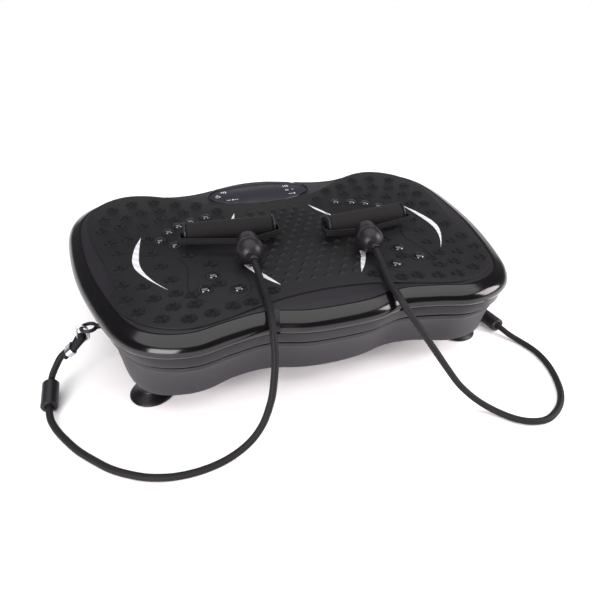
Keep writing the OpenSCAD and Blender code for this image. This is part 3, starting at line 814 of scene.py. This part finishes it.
    def _ring_mark(self, x: float, y: float, r: float = 3.6) -> tuple[np.ndarray, list]:
        """A printed ring."""
        a = np.linspace(0, 2 * math.pi, 32, endpoint=False)
        flat = np.stack([np.cos(a), np.sin(a)], 1)
        section = ((r, 116.25), (r, 116.42), (r - 0.8, 116.42), (r - 0.8, 116.25))
        return skin([at_height(flat * q + (x, y), z) for q, z in section], around=True)


@dataclass
class Handle:
    """A foam grip on its core, the strap, and the round rope cap."""

    side: str
    grip: tuple[float, float, float]
    turn_deg: float
    cap: tuple[float, float, float]
    cap_turn_deg: float
    rope_exit: tuple[float, float, float]
    length: float = 102.0
    radius: float = 12.0
    cap_r: float = 15.5

    @property
    def body(self) -> str:
        """The CAD body that this handle rides on."""
        return f"{self.side}_handle"

    def _along_grip(self, v: np.ndarray) -> np.ndarray:
        """Turns a lathed shape's Z axis along the grip and moves it there."""
        t = math.radians(self.turn_deg)
        axis, up = np.array([math.cos(t), math.sin(t), 0]), np.array([0, 0, 1.0])
        front = np.cross(up, axis)
        return np.array(self.grip) + v[:, :1] * front + v[:, 1:2] * up + v[:, 2:] * axis

    def build(self) -> None:
        """Builds the whole handle."""
        h, r = self.length / 2, self.radius
        rng = np.random.default_rng(3 if self.side == "left" else 5)
        edge = [(8.1, -h), (r - 1.6, -h), (r - 0.4, 0.8 - h), (r, 2.6 - h)]
        outer = [(r - 0.12 * rng.random(), z) for z in np.linspace(6 - h, h - 6, 28)]
        profile = edge + outer + [(q, -z) for q, z in edge[::-1]]
        v, f = lathe(profile, 64, hollow=True)
        foam = make_piece(f"{self.side}_foam_sleeve", self._along_grip(v), f, EVA_FOAM, 50)
        foam.data.flip_normals()
        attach(foam, self.body)
        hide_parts(f"{self.side}_grip")
        ends = []
        for s in (1, -1):
            ring = [(8.1, 0), (r + 0.4, 0), (r + 1, 0.5), (r + 1, 1.6), (r, 2.7), (r - 1.2, 3), (8.1, 3)]
            q, g = lathe([(a, s * (h + b)) for a, b in ring], 64, hollow=True)
            ends.append((self._along_grip(q), g))
        rings = make_piece(f"{self.side}_ring_pair", *joined(ends), SATIN_ABS, 50)
        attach(rings, self.body)
        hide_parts(f"{self.side}_end_rings")
        self._strap()
        self._cap()
        log.info("%s handle: foam sleeve, end rings, strap and cap", self.side)

    def _strap(self) -> None:
        """The woven band out of both ends of the core and round to the cap."""
        t = math.radians(self.turn_deg)
        axis, front = np.array([math.cos(t), math.sin(t)]), np.array([math.sin(t), -math.cos(t)])
        at, out = np.array(self.grip[:2]), self.length / 2 + 7
        corner = [at + axis * out * 0.5, at + axis * (out - 2), at + axis * out + front * 3]
        right = corner + [at + axis * out + front * 13, at + axis * (out - 3) + front * 17]
        left = [p - 2 * ((p - at) @ axis) * axis for p in right]
        z = self.grip[2] - 2.2
        section = [(-1.1, -3.2), (0, -3.7), (1.1, -3.2), (1.1, 3.2), (0, 3.7), (-1.1, 3.2)]
        parts, runs = [], []
        for half, offset in ((right, 1.3), (left, -1.3)):
            ends = [self._behind_cap(9, offset), self._behind_cap(17.5, offset * 1.6)]
            run = finer([tuple(p) for p in ends + half[::-1]], 6)
            d = np.gradient(run, axis=0)
            d /= np.linalg.norm(d, axis=1)[:, None]
            side = np.stack([-d[:, 1], d[:, 0]], 1)
            rings = [np.array([(*(p + n * w), z + h) for w, h in section]) for p, n in zip(run, side)]
            parts.append(skin([r[::-1] for r in rings]))
            runs.append(run)
        band = make_piece(f"{self.side}_woven_band", *joined(parts), WEBBING, 60)
        flat = np.concatenate(runs)
        whole_run = np.column_stack([flat, np.zeros(len(flat))])
        thread_map(band, 6, whole_run, 9, 1.6)
        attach(band, self.body)
        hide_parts(f"{self.side}_strap")

    def _behind_cap(self, along: float, offset: float) -> np.ndarray:
        """A plan point behind the ball, along its barrel and offset to one side of it."""
        t = math.radians(self.cap_turn_deg)
        back, side = np.array([-math.sin(t), math.cos(t)]), np.array([math.cos(t), math.sin(t)])
        return np.array(self.cap[:2]) + (self.cap_r + along) * back + offset * side

    def _cap(self) -> None:
        """The ball with its barrel behind, a seam between them and a collar for the rope."""
        r = self.cap_r
        ball = [(r * math.sin(a), -r * math.cos(a)) for a in np.linspace(0.36, math.radians(128), 26)]
        profile = [(0.2, -r * 0.93), (5.2, -r * 0.935)] + ball
        x, z = ball[-1]
        seam = [(x - 0.8, z + 0.1), (x - 0.8, z + 0.7)]
        barrel = [(11.9, z + 0.9), (11.9, r + 10.9), (11.0, r + 12.1), (9.6, r + 12.5), (0.2, r + 12.5)]
        profile += seam + barrel
        v, f = lathe(profile, 64)
        t = math.radians(self.cap_turn_deg)
        side, back = np.array([math.cos(t), math.sin(t), 0]), np.array([-math.sin(t), math.cos(t), 0])
        v = v[:, :1] * side + v[:, 2:] * back - v[:, 1:2] * np.array([0, 0, 1.0])
        parts = [(v + np.array(self.cap), f)]
        c, e = np.array(self.cap), np.array(self.rope_exit)
        d = (e - c) / np.linalg.norm(e - c)
        reach = np.linalg.norm(e - c) - 0.6
        collar = []
        lip = ((5.6, reach - 0.8), (5.0, reach), (3.6, reach), (3.6, reach - 1.4), (0.1, reach - 1.4))
        for q, s in ((5.6, r * 0.8), *lip):
            collar.append(tube_rings(np.array([c + d * s, c + d * (s + 1)]), q, 40, (1, 0, 0))[0])
        parts.append(skin(collar))
        cap = make_piece(f"{self.side}_ball_cap", *joined(parts), SATIN_ABS, 40)
        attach(cap, self.body)
        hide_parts(f"{self.side}_rope_cap")


@dataclass
class PullRope:
    """One pull rope from its steel link to the cap, with its turned-back end."""

    side: str
    route: tuple[tuple[float, float, float], ...]
    eye: tuple[tuple[float, float, float], ...]
    bend_start: tuple[float, float, float]
    bend_end: tuple[float, float, float]
    eye_up: tuple[float, float, float] = (0, 0, 1)
    diameter: float = 7.0
    sides: int = 20

    def build(self) -> None:
        path = finer(self.route, 6)
        rope = self._tube(f"{self.side}_braided_rope", path, (0, 0, 1))
        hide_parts(f"{self.side}_rope")
        turned = finer(self.eye, 6)
        eye = self._tube(f"{self.side}_turned_end", turned, self.eye_up)
        eye.data.materials.append(ROPE_CORE.material())
        for poly in eye.data.polygons:
            if len(poly.vertices) > 4 and max(poly.vertices) < self.sides:
                poly.material_index = 1
        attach(eye, "base")
        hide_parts(f"{self.side}_rope_eye")
        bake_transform(rope)

    def _tube(self, name: str, path: np.ndarray, up: Sequence[float]) -> bpy.types.Object:
        """A braided tube along a path."""
        rings = tube_rings(path, self.diameter / 2, self.sides, up)
        obj = make_piece(name, *skin(rings), BRAID, 60)
        thread_map(obj, self.sides, path, 8, 2.4)
        return obj


LEFT_ROPE = PullRope(
    "left",
    (
        (-269, -82.3, 47.5), (-277, -83, 41.5), (-284, -85.6, 32), (-289.6, -87, 22.6), (-293, -90, 14),
        (-293, -106.5, 11.5), (-293, -123, 9), (-291, -138, 5.5), (-284, -154, 3.6), (-274, -171, 3.6),
        (-263, -187, 3.6), (-249, -203, 3.6), (-233, -219, 3.6), (-214, -232, 3.6), (-197, -240, 3.6),
        (-176, -245, 3.6), (-152, -245, 3.6), (-129, -241, 5.5), (-108, -237, 15), (-93, -233, 31),
        (-83, -228, 53), (-78, -222, 72), (-74.5, -215, 91), (-73, -206, 108), (-71.5, -196, 117),
        (-69.5, -182, 121.5), (-67, -160, 122.5), (-65.5, -138, 123.5), (-64.5, -119, 126),
        (-64.6, -99.5, 130.8),
    ),
    (
        (-272.2, -89.7, 45.1), (-269, -89.7, 47.5), (-261, -89.3, 53.5), (-256, -87.4, 57.4),
        (-252.2, -84.8, 59.9), (-250.5, -81, 60.6), (-252.2, -77.2, 59.9), (-256, -75.4, 57.4),
        (-261, -81.6, 53.5), (-269, -82.3, 47.5),
    ),
    (-0.150, -0.245, 0.004),
    (-0.073, -0.245, 0.108),
)
RIGHT_ROPE = PullRope(
    "right",
    (
        (251, -85.2, 41), (251, -85.5, 31), (251, -87, 18), (246, -95, 10.5), (238, -108, 9),
        (239.5, -123.5, 9), (241, -139, 9), (246, -155, 5.5), (252, -170, 3.6), (256, -188, 3.6),
        (255.5, -205, 3.6), (251, -224, 3.6), (243, -243, 3.6), (233, -260, 3.6), (221, -273, 3.6),
        (206, -283, 3.6), (190, -288.5, 3.6), (174, -286, 3.6), (160, -277.5, 3.6), (146, -262, 5),
        (132, -249, 12), (118, -238, 25), (106, -231, 42), (89, -220, 69), (76, -211, 90),
        (65, -201, 108),
        (60, -191, 117.5), (59, -174, 121.5), (63, -153, 122.5), (68, -132, 125), (70.7, -112.4, 130.8),
    ),
    (
        (251, -77.8, 37), (251, -77.8, 41), (251, -77.8, 49.5), (250.7, -75.6, 54), (250.5, -77, 58.9),
        (250.5, -81, 60.9), (250.5, -85, 58.9), (250.7, -86.8, 54), (251, -85.2, 49.5), (251, -85.2, 41),
    ),
    (0.150, -0.25, 0.004),
    (0.065, -0.25, 0.108),
    (1, 0, 0),
)
LEFT_HANDLE = Handle("left", (-74, -15, 133.2), -5, (-65, -82, 135), -8, (-64.6, -99.5, 130.8))
RIGHT_HANDLE = Handle("right", (91, -35, 133.2), 6, (71, -95, 135), -15, (70.7, -112.4, 130.8))


@dataclass
class Studio:
    """Camera, floor and soft lights."""

    eye: tuple[float, float, float] = (-0.1645, -0.5604, 0.3795)
    gaze: tuple[float, float, float] = (0.2573, 0.8095, -0.5277)
    lens: float = 30.405
    floor_half: float = 9000.0
    floor_z: float = -0.3

    def camera(self) -> None:
        """Places the camera."""
        data = bpy.data.cameras.new("camera")
        data.lens, data.sensor_width = self.lens, 36.0
        data.clip_start, data.clip_end = 0.01, 50
        cam = bpy.data.objects.new("camera", data)
        bpy.context.scene.collection.objects.link(cam)
        cam.location = self.eye
        cam.rotation_mode = "QUATERNION"
        cam.rotation_quaternion = Vector(self.gaze).to_track_quat("-Z", "Y")
        bpy.context.scene.camera = cam

    def light(self) -> None:
        """A pale floor, a dim surround, one wide overhead light and two soft boxes."""
        half, z = self.floor_half, self.floor_z
        corners = np.array([(-half, -half, z), (half, -half, z), (half, half, z), (-half, half, z)], float)
        floor = make_piece("floor", corners, [(0, 1, 2, 3)], STUDIO_FLOOR)
        world = bpy.data.worlds.new("studio")
        world.use_nodes = True
        tree = world.node_tree
        place = add_node(tree, "ShaderNodeTexCoord")
        split = add_node(tree, "ShaderNodeSeparateXYZ", Vector=place.outputs["Generated"])
        ramp = add_node(tree, "ShaderNodeValToRGB", Fac=split.outputs["Z"])
        low, high = ramp.color_ramp.elements
        low.position, low.color = 0.06, (1, 1, 1, 1)
        high.position, high.color = 0.12, (0.12, 0.12, 0.13, 1)
        tree.links.new(ramp.outputs["Color"], tree.nodes["Background"].inputs["Color"])
        tree.nodes["Background"].inputs["Strength"].default_value = 1.0
        bpy.context.scene.world = world
        bpy.context.scene.view_settings.view_transform = "Standard"
        data = bpy.data.lights.new("overhead", "SUN")
        data.energy, data.angle = 3.0, math.radians(80)
        overhead = bpy.data.objects.new("overhead", data)
        bpy.context.scene.collection.objects.link(overhead)
        self._box("front_left_box", (-0.9, -1.1, 0.55), 0.8, 24)
        self._box("right_box", (1.2, -0.6, 0.7), 0.7, 20)

    def _box(self, name: str, place: tuple[float, float, float], size: float, watts: float) -> None:
        """One soft box aimed at the machine."""
        data = bpy.data.lights.new(name, "AREA")
        data.energy, data.size, data.color = watts, size, (1.0, 0.93, 0.95)
        lamp = bpy.data.objects.new(name, data)
        bpy.context.scene.collection.objects.link(lamp)
        lamp.location = place
        lamp.rotation_mode = "QUATERNION"
        lamp.rotation_quaternion = (Vector((0, 0, 0.08)) - Vector(place)).to_track_quat("-Z", "Y")


def dress_cad(nodes: dict[str, bpy.types.Object]) -> None:
    """Gives each CAD node that still shows its finish.

    Args:
        nodes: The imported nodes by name.
    """
    for name, finish in CAD_FINISHES.items():
        node = nodes[name]
        node.data.materials.clear()
        node.data.materials.append(finish.material())
    log.info("%d CAD nodes dressed", len(CAD_FINISHES))


def main() -> None:
    """Builds the scene in order."""
    logging.basicConfig(level=logging.INFO, format="%(message)s")
    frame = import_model()
    studio = Studio()
    studio.camera()
    for rope in (LEFT_ROPE, RIGHT_ROPE):
        rope.build()
    dress_cad(frame["nodes"])
    Base().build()
    Deck().build()
    for handle in (LEFT_HANDLE, RIGHT_HANDLE):
        handle.build()
    studio.light()


if __name__ == "__main__":
    main()
